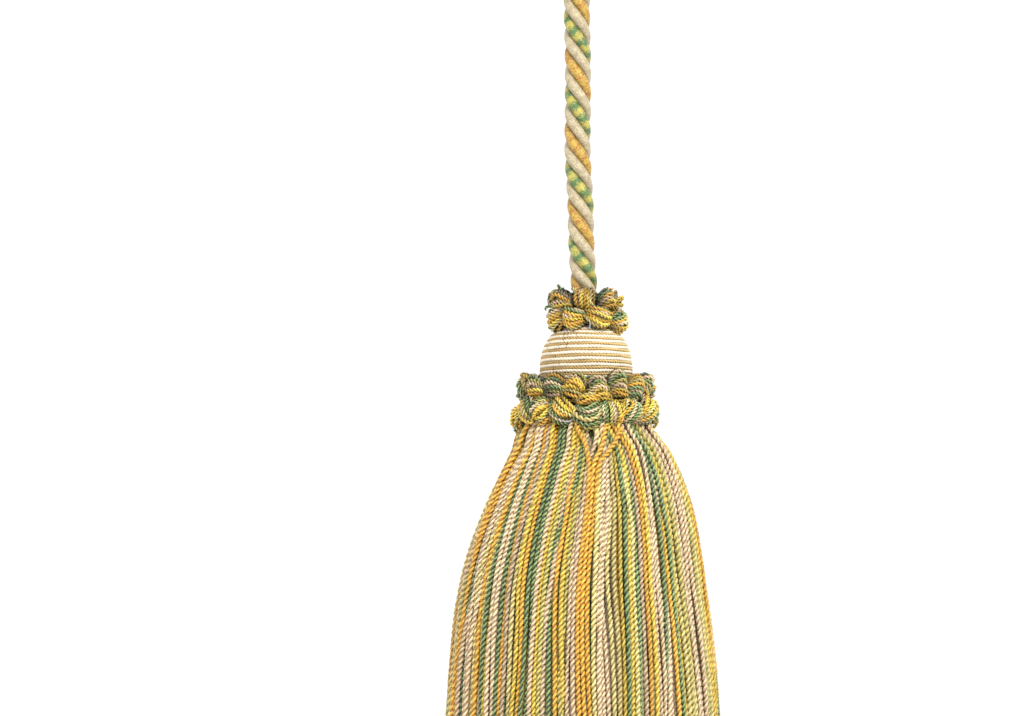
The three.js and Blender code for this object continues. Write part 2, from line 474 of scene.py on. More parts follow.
class Recipe:
    """Lays out the nodes of one procedural material."""

    def __init__(self, name: str, roughness: float, sheen: float = 0.0, gloss: float = 0.5) -> None:
        """Starts a material with one shader.

        Args:
            name: the material's name.
            roughness: the shader's roughness.
            sheen: how much soft sheen lies over it.
            gloss: its specular level.
        """
        self.material = bpy.data.materials.new(name)
        self.material.use_nodes = True
        self.tree = self.material.node_tree
        self.tree.nodes.clear()
        self.shader = self.node("ShaderNodeBsdfPrincipled")
        self.shader.inputs["Roughness"].default_value = roughness
        self.shader.inputs["Specular IOR Level"].default_value = gloss
        self.shader.inputs["Sheen Weight"].default_value = sheen
        self.shader.inputs["Sheen Roughness"].default_value = 0.4
        output = self.node("ShaderNodeOutputMaterial")
        self.link(self.shader.outputs["BSDF"], output.inputs["Surface"])

    def node(self, kind: str, **settings: object) -> bpy.types.Node:
        """Adds a node.

        Args:
            kind: the node's type.
            **settings: values for the node's own properties.

        Returns:
            The node.
        """
        made = self.tree.nodes.new(kind)
        for name, value in settings.items():
            setattr(made, name, value)
        return made

    def link(self, source: Socket, target: Socket) -> None:
        """Joins two sockets."""
        self.tree.links.new(source, target)

    def attribute(self, name: str, output: str) -> Socket:
        """A socket that reads one of the mesh's own attributes."""
        return self.node("ShaderNodeAttribute", attribute_name=name).outputs[output]

    def maths(self, operation: str, a: Socket | float, b: Socket | float = 0.0) -> Socket:
        """Works on one or two values.

        Args:
            operation: the operation's name.
            a: the first value, a socket or a number.
            b: the second value, a socket or a number.

        Returns:
            The result's socket.
        """
        made = self.node("ShaderNodeMath", operation=operation)
        for value, target in zip((a, b), made.inputs):
            if isinstance(value, Socket):
                self.link(value, target)
            else:
                target.default_value = value
        return made.outputs[0]

    def scaled(self, vector: Socket, by: Place) -> Socket:
        """Scales each part of a vector.

        Args:
            vector: the vector's socket.
            by: what each part is multiplied by.

        Returns:
            The scaled vector's socket.
        """
        made = self.node("ShaderNodeVectorMath", operation="MULTIPLY")
        self.link(vector, made.inputs[0])
        made.inputs[1].default_value = by
        return made.outputs[0]

    def parted(self, vector: Socket) -> bpy.types.NodeOutputs:
        """Takes a vector apart.

        Args:
            vector: the vector's socket.

        Returns:
            The sockets of its three parts.
        """
        made = self.node("ShaderNodeSeparateXYZ")
        self.link(vector, made.inputs[0])
        return made.outputs

    def noise(self, vector: Socket, scale: float, detail: float) -> Socket:
        """A noise value.

        Args:
            vector: where it is read.
            scale: how fine it is.
            detail: how many finer layers it has.

        Returns:
            The value's socket.
        """
        made = self.node("ShaderNodeTexNoise")
        made.inputs["Scale"].default_value = scale
        made.inputs["Detail"].default_value = detail
        self.link(vector, made.inputs["Vector"])
        return made.outputs["Fac"]

    def ranged(self, value: Socket, source: tuple[float, float], target: tuple[float, float]) -> Socket:
        """Maps a value from one range to another.

        Args:
            value: the value's socket.
            source: the range that it comes in.
            target: the range that it goes to.

        Returns:
            The mapped value's socket.
        """
        made = self.node("ShaderNodeMapRange")
        self.link(value, made.inputs["Value"])
        limits = (*source, *target)
        for name, limit in zip(("From Min", "From Max", "To Min", "To Max"), limits):
            made.inputs[name].default_value = limit
        return made.outputs["Result"]

    def blended(self, share: Socket, first: Colour, second: Colour) -> Socket:
        """Mixes two colours.

        Args:
            share: how much of the second.
            first: the first colour.
            second: the second colour.

        Returns:
            The mixed colour's socket.
        """
        made = self.node("ShaderNodeMix", data_type="RGBA")
        self.link(share, made.inputs[0])
        for colour, target in ((first, made.inputs[6]), (second, made.inputs[7])):
            target.default_value = (*linear(colour), 1.0)
        return made.outputs[2]

    def brightened(self, colour: Socket, factor: Socket) -> Socket:
        """Multiplies a colour's brightness by a value.

        Args:
            colour: the colour's socket.
            factor: the value's socket.

        Returns:
            The new colour's socket.
        """
        made = self.node("ShaderNodeHueSaturation")
        self.link(factor, made.inputs["Value"])
        self.link(colour, made.inputs["Color"])
        return made.outputs["Color"]

    def colour(self, socket: Socket) -> None:
        """Sends a colour to the shader."""
        self.link(socket, self.shader.inputs["Base Color"])

    def bump(self, height: Socket, depth: float) -> None:
        """Raises the surface by a height.

        Args:
            height: the height's socket, from 0 to 1.
            depth: how deep 1 is, in mm.
        """
        made = self.node("ShaderNodeBump")
        made.inputs["Distance"].default_value = depth * MM
        self.link(height, made.inputs["Height"])
        self.link(made.outputs["Normal"], self.shader.inputs["Normal"])


NOISE_SPAN = (0.3, 0.7)  # where most of a noise's values lie
SINE_SPAN = (-1, 1)


@dataclass(frozen=True)
class YarnFinish:
    """Silky staple yarn: fine fibres that run with the plies, lighter and darker by turns."""

    name: str
    roughness: float = 0.4
    sheen: float = 0.1
    fibre_depth: float = 0.09
    fibre_shades: tuple[float, float] = (0.84, 1.12)
    slub_shades: tuple[float, float] = (0.92, 1.06)
    surface_lay: float = 0.0  # of plies that are only in the surface; 0 where the yarn's shape has them
    surface_span: tuple[float, float] = (-1, 0.5)  # of their wave, from a groove's bottom to a crest's edge
    # painted shade in the surface plies' grooves and a slight painted highlight on their crests
    surface_shades: tuple[float, float] = (0.6, 1.1)
    surface_depth: float = 0.3

    def material(self) -> bpy.types.Material:
        """Makes the material.

        Returns:
            The material.
        """
        recipe = Recipe(self.name, self.roughness, self.sheen)
        lie = recipe.attribute("lie", "Vector")
        fibres = recipe.noise(recipe.scaled(lie, (0.5, 3.2, 3.2)), 1.6, 3.0)
        slubs = recipe.noise(recipe.scaled(lie, (0.16, 0.3, 0.3)), 1.0, 1.0)
        fibre_shade = recipe.ranged(fibres, NOISE_SPAN, self.fibre_shades)
        shade = recipe.maths("MULTIPLY", fibre_shade, recipe.ranged(slubs, NOISE_SPAN, self.slub_shades))
        if self.surface_lay:
            along, cosine, sine = recipe.parted(lie)
            round_it = recipe.maths("MULTIPLY", recipe.maths("ARCTAN2", sine, cosine), 2.0)
            turned = recipe.maths("MULTIPLY", along, -2 * TURN / self.surface_lay)
            plies = recipe.maths("SINE", recipe.maths("ADD", round_it, turned))
            # painted shade between the surface plies and a slight painted highlight on their crests, beside
            # the bump
            ply_shade = recipe.ranged(plies, self.surface_span, self.surface_shades)
            shade = recipe.maths("MULTIPLY", shade, ply_shade)
            recipe.bump(recipe.ranged(plies, self.surface_span, (0, 1)), self.surface_depth)
        else:
            recipe.bump(fibres, self.fibre_depth)
        # the attribute brings the hue with its painted highlight and painted shade
        recipe.colour(recipe.brightened(recipe.attribute("dye_and_shading", "Color"), shade))
        return recipe.material


@dataclass(frozen=True)
class WoundPlyFinish:
    """A ply of the rope: threads wound round it side by side, in bands of two colours."""

    name: str
    first: Colour
    second: Colour
    band: float  # length of one band of each colour together
    edge: float  # how soft the bands' edges are: 0.5 runs them together
    jitter: float  # how far the bands wander, in bands
    fineness: float  # how closely they wander
    slant: float = 0.6  # how far a band runs on across its ply, in radians
    thread: float = 0.34  # from one thread to the next
    thread_depth: float = 0.045
    # painted shade in the hollows between the wound threads, which also have a bump
    thread_shades: tuple[float, float] = (0.92, 1.04)
    fibre_shades: tuple[float, float] = (0.82, 1.14)
    flank_shade_ridge_highlight: tuple[float, float] = (0.66, 1.08)  # painted shade where the ply turns in to the next one, and painted highlight on its outside

    def material(self) -> bpy.types.Material:
        """Makes the material.

        Returns:
            The material.
        """
        recipe = Recipe(self.name, 0.36, 0.05, 0.7)
        lie = recipe.attribute("lie", "Vector")
        along, cosine, _ = recipe.parted(lie)
        noise = recipe.noise(recipe.scaled(lie, (0.8, 0.7, 0.7)), self.fineness, 3.0)
        wander = recipe.ranged(noise, (0, 1), (-TURN * self.jitter, TURN * self.jitter))
        turned = recipe.maths("MULTIPLY", along, TURN / self.band)
        turned = recipe.maths("ADD", turned, recipe.maths("MULTIPLY", cosine, self.slant))
        turned = recipe.maths("ADD", turned, wander)
        bands = recipe.ranged(recipe.maths("SINE", turned), (-self.edge, self.edge), (0, 1))
        dyed_and_shaded = recipe.blended(bands, self.first, self.second)
        winding = recipe.maths("SINE", recipe.maths("MULTIPLY", along, TURN / self.thread))
        fibres = recipe.noise(recipe.scaled(lie, (4.0, 1.0, 1.0)), 1.5, 2.0)
        # painted shade in the hollows between the threads
        thread_shade = recipe.ranged(winding, SINE_SPAN, self.thread_shades)
        shade = recipe.maths("MULTIPLY", thread_shade, recipe.ranged(fibres, NOISE_SPAN, self.fibre_shades))
        # painted shade on the ply's flanks and painted highlight on its ridge
        shade = recipe.maths("MULTIPLY", shade, recipe.ranged(cosine, (0, 1), self.flank_shade_ridge_highlight))
        recipe.colour(recipe.brightened(dyed_and_shaded, shade))
        recipe.bump(recipe.ranged(winding, SINE_SPAN, (0, 1)), self.thread_depth)
        return recipe.material


@dataclass(frozen=True)
class WoodFinish:
    """Plain turned beech under the windings."""

    name: str = "turned_beech"
    light: Colour = (214, 180, 136)
    dark: Colour = (176, 136, 92)

    def material(self) -> bpy.types.Material:
        """Makes the material.

        Returns:
            The material.
        """
        recipe = Recipe(self.name, 0.6)
        place = recipe.node("ShaderNodeTexCoord").outputs["Object"]
        grain = recipe.noise(recipe.scaled(place, (900.0, 900.0, 90.0)), 1.0, 4.0)
        recipe.colour(recipe.blended(grain, self.light, self.dark))
        recipe.bump(grain, 0.05)
        return recipe.material


@dataclass(frozen=True)
class PaperFinish:
    """Matt pale studio paper."""

    name: str = "studio_paper"
    tone: float = 0.93

    def material(self) -> bpy.types.Material:
        """Makes the material.

        Returns:
            The material.
        """
        recipe = Recipe(self.name, 0.9, gloss=0.1)
        recipe.shader.inputs["Base Color"].default_value = (self.tone, self.tone, self.tone, 1.0)
        return recipe.material


# ---- The hanging cord and its loop --------------------------------------------------------------


class Ply(Enum):
    """The finishes of the rope's plies, in their order in the piece."""

    GOLD = 0
    CREAM = 1
    GREEN = 2


@dataclass
class HangingCord:
    """The four-ply rope: up from the head, round its loop and down to its turned-back end."""

    diameter: float = 8.7
    lay: float = 25.2
    ply_share: float = 0.428  # a ply's thickness
    ring_share: float = 0.299  # distance of a ply's middle from the rope's
    gold_at: float = -100.9  # height at which the gold ply faces the front
    order: tuple[Ply, ...] = (Ply.GOLD, Ply.CREAM, Ply.GREEN, Ply.CREAM)
    route: tuple[tuple[float, float], ...] = (
        # up from the head
        (0.0, -183.9), (-0.6, -172), (-1.5, -158), (-1.9, -143), (-2.8, -127), (-2.7, -111),
        (-2.7, -96), (-3.0, -81), (-3.0, -70), (-3.0, -61), (-3.0, -53),
        # round the loop
        (0.4, -43.5), (7.6, -33), (14.4, -23), (17.5, -13), (15.2, -4.4), (8.8, 2.0), (0.0, 4.35),
        (-8.8, 2.0), (-15.2, -4.4), (-17.5, -13), (-17.2, -23.5), (-15.4, -34), (-13.2, -44.5),
        # and down beside itself
        (-12.0, -54), (-12.0, -62), (-12.0, -69.5),
    )  # x and z of the rope's middle
    step: float = 1.1  # from ring to ring

    def finishes(self) -> list[bpy.types.Material]:
        """Makes the plies' materials.

        Returns:
            The materials, in the order of Ply.
        """
        return [
            WoundPlyFinish("gold_ply", (163, 101, 20), (201, 171, 68), 3.2, 0.8, 1.6, 3.0).material(),
            WoundPlyFinish("cream_ply", (198, 184, 150), (164, 147, 110), 3.2, 0.9, 1.6, 3.0).material(),
            WoundPlyFinish("green_ply", (70, 111, 58), (188, 173, 76), 4.3, 0.85, 0.62, 3.6).material(),
        ]

    def centreline(self) -> np.ndarray:
        """Draws the rope's middle.

        Returns:
            Its points in mm, close enough together for the plies.
        """
        points = np.array([(x, 0.0, z) for x, z in self.route])
        line = curve_through(points, 24)
        length = float(run_of(line)[-1])
        return spaced_at(line, np.linspace(0, length, round(length / self.step) + 1))

    def build(self, binding: bpy.types.Object) -> bpy.types.Object:
        """Args:
            binding: the piece that binds its loop; not used.

        Returns:
            The rope.
        """
        line = self.centreline()
        runs = run_of(line)
        along = unit(np.gradient(line, axis=0))
        front = np.broadcast_to(FRONT, line.shape)
        aside = np.cross(along, front)
        start = TURN * float(runs[np.argmax(line[:, 2] >= self.gold_at)]) / self.lay
        rope = Skein()
        ply_yarn = Yarn(self.ply_share * self.diameter, Outline.round(14), self.step)
        for number, ply in enumerate(self.order):
            turn = start - TURN * runs / self.lay + TURN * number / len(self.order)
            out = np.cos(turn)[:, None] * front + np.sin(turn)[:, None] * aside
            way = line + self.ring_share * self.diameter * out
            ply_yarn.spin(rope, np.hstack([way, out]), Dye.CREAM_PLY, 0.11 * number, slot=ply.value)
        made = rope.piece("hanging_cord", self.finishes())
        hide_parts("cord")
        return made


@dataclass
class LoopBinding:
    """Thread wound round the rope and its turned-back end, which closes the loop."""

    standing_side: float = -3.0  # x of the rope's run from the head to the loop
    tail_side: float = -12.0  # and of its turned-back end
    reach: float = 4.95  # from a run's middle to the thread's
    thread: Yarn = field(default_factory=lambda: Yarn(0.98, Outline.round(7), 1.3))
    pitch: float = 0.96
    turn_steps: int = 60

    def build(self) -> bpy.types.Object:
        """Makes the binding.

        Returns:
            The piece.
        """
        low, high = ends_of("loop_binding")
        straight = self.standing_side - self.tail_side
        once = 2 * straight + TURN * self.reach
        turns = (high - low - self.thread.diameter) / self.pitch
        run = np.linspace(0, turns * once, round(turns * self.turn_steps))
        place = np.mod(run, once)
        z = low + self.thread.diameter / 2 + self.pitch * run / once
        half = math.pi * self.reach
        right_turn = np.clip(place / self.reach, 0, math.pi) - math.pi / 2
        left_turn = np.clip((place - half - straight) / self.reach, 0, math.pi) + math.pi / 2
        on_right = place < half + straight
        angle = np.where(on_right, right_turn, left_turn)
        slide = np.clip(place - half, 0, straight) - np.clip(place - 2 * half - straight, 0, straight)
        out = np.stack([np.cos(angle), np.sin(angle), np.zeros_like(angle)], axis=1)
        centre = np.stack([self.standing_side - slide, np.zeros_like(slide), z], axis=1)
        whipping = Skein()
        self.thread.spin(whipping, np.hstack([centre + self.reach * out, out]), Dye.WHIPPING)
        finish = YarnFinish("binding_thread", fibre_depth=0.04).material()
        made = whipping.piece("loop_binding_thread", [finish])
        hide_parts("loop_binding")
        return made


# ---- The wound head -----------------------------------------------------------------------------


@dataclass
class Head:
    """The turned mould, wound from its neck to the cord with a cream cord and a gold twist side by side."""

    radius: float = 15.4
    height: float = 17.0
    foot: float = -201.0
    fullness: float = 2.6  # 2 makes the dome round, and more makes its shoulders fuller
    neck: float = 7.0  # how far down the neck the winding starts
    seat: float = 4.6  # radius at which it ends, against the cord
    pitch: float = 2.07  # for the two cords together
    lean: float = 0.33  # how far the turns rise on -X and fall on +X
    wander: Waves = ((0.07, 3.1, 0.0), (0.05, 7.3, 1.0))  # of the turns from their places
    turn_steps: int = 90
    winding_depth: float = 0.35  # of the cords' middles under the windings' outside
    mould_depth: float = 1.2  # of the mould's surface under it
    mould_sides: int = 60
    cream: Yarn = field(default_factory=lambda: Yarn(1.17, CLOSE_PAIR, 0.48, lay=2.6))
    gold: Yarn = field(default_factory=lambda: Yarn(1.02, SLIM_PAIR, 0.31, lay=1.95))

    def profile(self, inset: float) -> np.ndarray:
        """The head's outline from its neck to its seat.

        Args:
            inset: how far inside its outer surface.

        Returns:
            Radius, a zero and height at each point, in mm.
        """
        share = np.sin(np.linspace(0, math.pi / 2, 120)) ** 0.9
        radius = self.radius * (1 - share**self.fullness) ** (1 / self.fullness)
        dome = np.stack([radius, 0 * share, self.foot + self.height * share], axis=1)
        dome = dome[radius > self.seat]
        neck = np.array([[self.radius, 0.0, self.foot - self.neck]])
        line = np.vstack([neck, dome])
        along = unit(np.gradient(line, axis=0))
        outward = np.stack([along[:, 2], 0 * share[: len(line)], -along[:, 0]], axis=1)
        return line - inset * outward

    def wind(self, yarn: Yarn, start: float, dye_and_shading: Dye, name: str) -> bpy.types.Object:
        """Winds one of the two cords round the head.

        Args:
            yarn: the cord.
            start: where it starts, in shares of the pitch.
            dye_and_shading: which yarn colour it takes, with the lot's painted highlight and painted shade.
            name: the piece's name.

        Returns:
            The piece.
        """
        line = self.profile(self.winding_depth)
        climb = float(run_of(line)[-1]) - self.pitch
        turns = climb / self.pitch
        angle = np.linspace(0, TURN * turns, round(turns * self.turn_steps))
        runs = self.pitch * (angle / TURN + start)
        at = spaced_at(line, runs + self.lean * np.sin(angle) + waves_at(self.wander, angle))
        slope = unit(spaced_at(line, runs + 0.2) - at)
        way = round_the_axis(angle + math.pi, at[:, 0], at[:, 2])
        outward = round_the_axis(angle + math.pi, slope[:, 2], -slope[:, 0])
        winding = Skein()
        yarn.spin(winding, np.hstack([way, outward]), dye_and_shading, swell=np.array([1.0, 1.0, 0.9]))
        made = winding.piece(name, [YarnFinish(name + "_yarn", fibre_depth=0.05).material()])
        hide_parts("head")
        return made

    def build(self) -> list[bpy.types.Object]:
        """Makes the mould and both windings.

        Returns:
            The three pieces.
        """
        low, _ = ends_of("head")
        side = self.profile(self.mould_depth)
        outline = np.vstack([[0.01, 0, low], [side[0, 0], 0, low], side, [0.01, 0, side[-1, 2]]])
        outline = outline[[*range(0, len(outline) - 1, 3), -1]]
        angles = np.linspace(0, TURN, self.mould_sides, endpoint=False)
        rings = round_the_axis(-angles[None, :], outline[:, :1], outline[:, 2:])
        mould = Skein()
        mould.add_tube(rings, np.zeros(3), np.zeros(3))
        core = mould.piece("head_mould", [WoodFinish().material()])
        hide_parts("head")
        return [
            core,
            self.wind(self.cream, 0.14, Dye.CREAM_CORD, "head_cream_cord"),
            self.wind(self.gold, 0.64, Dye.GOLD_TWIST, "head_gold_twist"),
        ]


# ---- The ruffs ----------------------------------------------------------------------------------


@dataclass(frozen=True)
class Row:
    """One of a ruff's two rows of puffs, each a bundle that fans out and closes again."""

    height: float  # of the puffs' middles
    length: float  # along their yarns
    width: float  # across them
    bulge: float  # of their middles beyond their ends
    droop: float  # of their ends, across their yarns
    start: float  # place of the first puff, in puffs
    facing: tuple[int, ...]  # which of the bundle's yarns lies outermost in each puff
    tilts: tuple[float, ...]  # of each puff's yarns from level, in degrees


SWEPT = np.radians([-90.0, -60.0, -22.0, 22.0, 60.0, 90.0])  # steps over a puff, from one end to the other
OPENED = np.cos(SWEPT)  # how far a puff is fanned out at each step


@dataclass(frozen=True)
class Puff:
    """One puff of a ruff: where it sits, which way its yarns run and how large it is."""

    middle: float  # its angle
    height: float
    tilt: float  # of its yarns from level
    length: float
    width: float
    bulge: float
    droop: float
    facing: int  # which of the bundle's yarns lies outermost

    def laid(
        self, share: float, high: np.ndarray, reach: float, tangle: np.ndarray | float = 0.0
    ) -> np.ndarray:
        """Lays one yarn over the puff.

        Args:
            share: how far across the puff it lies, from -1 to 1.
            high: its distance from the axis at each step.
            reach: how far it goes to either side, in lengths of the puff.
            tangle: how far it strays at each step, an array, or 0 where it doesn't.

        Returns:
            Its points in mm and the way outward at each, (6, 6).
        """
        out = round_the_axis(np.array(self.middle), np.array(1.0), np.array(0.0))
        sideways = np.array([math.cos(self.middle), math.sin(self.middle), 0.0])
        lengthwise = math.cos(self.tilt) * sideways + math.sin(self.tilt) * UP
        across = math.cos(self.tilt) * UP - math.sin(self.tilt) * sideways
        spread = 1.0 + (self.width / 2 - 1.0) * OPENED
        along = reach * self.length * np.sin(SWEPT)
        aside = spread * share - self.droop * (1 - OPENED)
        at = along[:, None] * lengthwise + aside[:, None] * across + high[:, None] * out
        return np.hstack([at + tangle + self.height * UP, np.broadcast_to(out, at.shape)])


@dataclass(frozen=True)
class Stray:
    """A single yarn or thread that shows outside a ruff's puffs, its ends tucked in or cut."""

    dye_and_shading: Dye
    thickness: float
    route: tuple[Place, ...]  # place to the right, height and distance from the axis


@dataclass
class Ruff:
    """A ring of puffs plaited from one bundle, which goes from row to row behind them."""

    node: str
    lobes: int  # in each of its two rows
    rows: tuple[Row, Row]
    dyes: tuple[Dye, ...]
    seat_radius: float  # of the bundle's middle behind the puffs
    inner_radius: float  # clear of what it sits round
    outer_radius: float
    seed: int
    parts: int = 1  # pieces that its yarns are shared between
    foot_flare: float = 0.0  # how much wider its bore is at its foot
    uneven: float = 0.35  # how far its puffs stand out of their row
    unlike: float = 0.08  # how far its puffs differ in size, as a share
    tilting: float = 7.0  # how far their tilts differ, in degrees
    straying: float = 0.5  # of a puff to the side, of its ends across it, and of a yarn in it
    spacing: float = 1.07  # between yarns' middles
    rounds: int = 40
    fan: float = math.radians(108)  # from a puff's middle yarn to its last
    closed_depth: float = 0.9  # of the fanned bundle, where a puff closes
    opened_depth: float = 1.3  # how much deeper it is where the puff is open
    yarn: Yarn = field(default_factory=lambda: Yarn(1.22, SLIM_PAIR, 0.48, lay=2.7))
    core: Yarn = field(default_factory=lambda: Yarn(1.7, Outline.round(6), 1.6))
    padding: Yarn = field(default_factory=lambda: Yarn(1.5, Outline.round(6), 2.0))
    padding_pitch: float = 1.15
    padding_top: float = 3.2  # how far under the ruff's top the padding starts
    padding_foot: float = 3.0  # and how far over its foot it ends
    top_runs: int = 3  # of plied yarn, which show above the padding
    # painted shade: the padding and the puffs' cores are coloured darker, as they lie in shade inside the
    # ruff
    padding_shade: float = 0.45
    askew: float = 0.0  # how far its foot stands to +X
    rise: float = 0.0  # how much higher it sits on +X
    waist: tuple[float, ...] = ()  # heights of the runs that pass between its rows
    waist_radius: float = 0.0
    strays: tuple[Stray, ...] = ()
    stray_turns: tuple[float, ...] = (0.0, 165.0, 250.0)  # where the strays are met again, in degrees

    def puff(self, rng: np.random.Generator, row: Row, lobe: int) -> Puff:
        """Draws up one puff.

        Args:
            rng: the source of chance.
            row: the row that it is in.
            lobe: its number in the row.

        Returns:
            The puff.
        """
        middle = TURN / self.lobes * (lobe + row.start) + rng.normal(0, self.straying) / self.seat_radius
        tilt = math.radians(row.tilts[lobe % len(row.tilts)] + rng.normal(0, self.tilting))
        length, width, bulge = np.array([row.length, row.width, row.bulge]) * rng.normal(1, self.unlike, 3)
        height = row.height + self.rise * math.sin(middle) + rng.normal(0, self.uneven)
        droop = (row.droop + rng.normal(0, self.straying)) * math.cos(tilt)
        return Puff(middle, height, tilt, length, width, bulge, droop, row.facing[lobe % len(row.facing)])

    def bundle(self, rng: np.random.Generator) -> tuple[list[np.ndarray], list[np.ndarray], Skein]:
        """Lays out the bundle's yarns, before they press on each other.

        Args:
            rng: the source of chance.

        Returns:
            Each yarn's points, which way is outward at each point, and the puffs' filling.
        """
        filling = Skein()
        count = len(self.dyes)
        knots: list[list[np.ndarray]] = [[] for _ in range(count)]
        for lobe in range(self.lobes):
            for row in self.rows:
                puff = self.puff(rng, row, lobe)
                swollen = self.seat_radius + puff.bulge * OPENED**0.7
                for number in range(count):
                    place = (number + count // 2 - puff.facing) % count
                    lean = self.fan * (2 * place / (count - 1) - 1)
                    high = swollen + (self.closed_depth + self.opened_depth * OPENED) * math.cos(lean)
                    tangle = rng.normal(0, self.straying, (len(SWEPT), 3)) * OPENED[:, None]
                    knots[number].append(puff.laid(math.sin(lean), high, 0.5, tangle))
                # three thick yarns fill the puff under them
                for core in (-1, 0, 1):
                    under = swollen + 0.3 * (1 - abs(core)) + 0.2
                    way = curve_through(puff.laid(0.45 * core, under, 0.46), 3)
                    dye_and_shading = self.dyes[(puff.facing + core) % count]
                    turn = rng.uniform(0, TURN)
                    # painted shade: the cores are coloured darker
                    self.core.spin(filling, way, dye_and_shading, turn, tone=self.padding_shade)
        yarns, outward = [], []
        for laid in knots:
            way = curve_through(np.vstack(laid), 3, closed=True)
            length = float(run_of(way)[-1])
            way = spaced_at(way, np.linspace(0, length, round(length / 1.15) + 1)[:-1])
            yarns.append(way[:, :3])
            outward.append(way[:, 3:])
        return yarns, outward, filling

    def pressed(self, yarns: list[np.ndarray]) -> list[np.ndarray]:
        """Lets closed yarns push each other aside, and keeps them smooth and within the ring.

        Args:
            yarns: each yarn's points.

        Returns:
            The settled points.
        """
        pressure, most, homing, smoothing = 0.3, 0.35, 0.045, 0.09
        starts = np.concatenate([[0], np.cumsum([len(yarn) for yarn in yarns])])
        points = np.vstack(yarns)
        home = points.copy()
        after = np.arange(len(points)) + 1
        after[starts[1:] - 1] = starts[:-1]
        before = np.argsort(after)
        low, high = ends_of(self.node)
        pairs = np.zeros((0, 2), int)
        for turn in range(self.rounds):
            if turn % 8 == 0:
                pairs = self.near_pairs(points, after)
            gap = points[pairs[:, 0]] - points[pairs[:, 1]]
            far = np.linalg.norm(gap, axis=1, keepdims=True)
            push = pressure * np.clip(self.spacing - far, 0, None) * gap / np.maximum(far, 1e-6)
            shift = np.zeros_like(points)
            np.add.at(shift, pairs[:, 0], push)
            np.add.at(shift, pairs[:, 1], -push)
            points = points + np.clip(shift, -most, most) + homing * (home - points)
            points = points + smoothing * ((points[after] + points[before]) / 2 - points)
            radius = np.hypot(points[:, 0], points[:, 1])
            flare = self.foot_flare * np.clip((low + 8.0 - points[:, 2]) / 6.0, 0, 1)
            held = np.clip(radius, self.inner_radius + flare, self.outer_radius)
            points[:, :2] *= (held / radius)[:, None]
            points[:, 2] = np.clip(points[:, 2], low + 0.5, high - 0.5)
        points[:, 0] += self.askew * np.clip(((low + high) / 2 - points[:, 2]) / 3, 0, 1)
        return [points[start:stop] for start, stop in zip(starts[:-1], starts[1:])]

    def near_pairs(self, points: np.ndarray, after: np.ndarray) -> np.ndarray:
        """Pairs of points that may come to touch.

        Args:
            points: every yarn's points, one yarn after another.
            after: the next point's place in its yarn, for each point.

        Returns:
            Each pair's two places in points.
        """
        tree = KDTree(len(points))
        for place, point in enumerate(points):
            tree.insert(point, place)
        tree.balance()
        second = after[after]
        found = []
        for place, point in enumerate(points):
            for _, other, _ in tree.find_range(point, 1.6 * self.spacing):
                kin = other in (after[place], second[place]) or place in (after[other], second[other])
                if other > place and not kin:
                    found.append((place, other))
        return np.array(found, int).reshape(-1, 2)

    def pad(self, filling: Skein) -> None:
        """Lays the rings of yarn inside: the padding, and the runs that show at the top and the waist.

        Args:
            filling: where their tubes go.
        """
        around = np.linspace(0, TURN, 97)
        low, high = ends_of(self.node)
        heights = np.arange(high - self.padding_top, low + self.padding_foot, -self.padding_pitch)
        for number, z in enumerate(heights):
            height = z + waves_at(((0.3, 5, 1), (0.2, 13, 2)), around, number)
            ring = way_round(around, self.inner_radius, height)
            if number < self.top_runs:
                # painted shade: the runs at the top are coloured darker
                self.yarn.spin(filling, ring, self.dyes[3 * number + 2], tone=0.6, slot=1, closed=True)
            else:
                dye_and_shading = self.dyes[number % len(self.dyes)]
                self.padding.spin(filling, ring, dye_and_shading, tone=self.padding_shade, closed=True)
        for number, z in enumerate(self.waist):
            reach = self.waist_radius + waves_at(((0.5, 9, 2),), around, number)
            ring = way_round(around, reach, z + waves_at(((0.5, 7, 1),), around, number))
            # painted shade: the runs between the rows are coloured darker
            self.yarn.spin(filling, ring, self.dyes[3 * number + 2], tone=0.55, slot=1, closed=True)

    def build(self) -> list[bpy.types.Object]:
        """Makes the ruff.

        Returns:
            Its pieces.
        """
        rng = np.random.default_rng(self.seed)
        yarns, outward, filling = self.bundle(rng)
        skeins = [Skein() for _ in range(self.parts)]
        for number, (line, away, dye_and_shading) in enumerate(zip(self.pressed(yarns), outward, self.dyes)):
            smooth = curve_through(np.hstack([line, away]), 4, closed=True)
            proud = np.hypot(smooth[:, 0], smooth[:, 1]) - self.seat_radius
            # painted shade: a yarn is coloured darker where it goes in behind the others, and lighter, a
            # painted highlight, where it stands out furthest; its random factor is its own tone
            tone = rng.normal(0.95, 0.1) * np.clip(-0.3 + 0.25 * proud, 0.14, 1.5)
            skein = skeins[number % self.parts]
            self.yarn.spin(skein, smooth, dye_and_shading, 1.7 * number, tone=tone, closed=True)
        self.pad(filling)
        for turn in np.radians(self.stray_turns):
            for stray in self.strays:
                self.lay_stray(filling, stray, float(turn))
        finish = YarnFinish(self.node + "_dyed_and_shaded", roughness=0.34).material()
        plied = YarnFinish(self.node + "_inner_dyed_and_shaded", surface_lay=2.5).material()
        made = [skein.piece(f"{self.node}_yarn_{part + 1}", [finish]) for part, skein in enumerate(skeins)]
        made.append(filling.piece(self.node + "_filling", [plied, finish]))
        for piece in made:
            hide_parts(self.node)
        return made

    def lay_stray(self, skein: Skein, stray: Stray, turn: float) -> None:
        """Lays one stray yarn.

        Args:
            skein: where its tube goes.
            stray: the yarn.
            turn: how far round the ruff from where its route puts it.
        """
        aside, height, radius = np.array(stray.route).T
        angle = np.arcsin(np.clip(aside / radius, -1, 1)) + turn
        way = curve_through(way_round(angle, radius, height), 8)
        thick = stray.thickness
        yarn = replace(self.yarn, diameter=thick, lay=2.9 * thick, step=0.45 * thick)
        yarn.spin(skein, way, stray.dye_and_shading, phase=turn, slot=1)


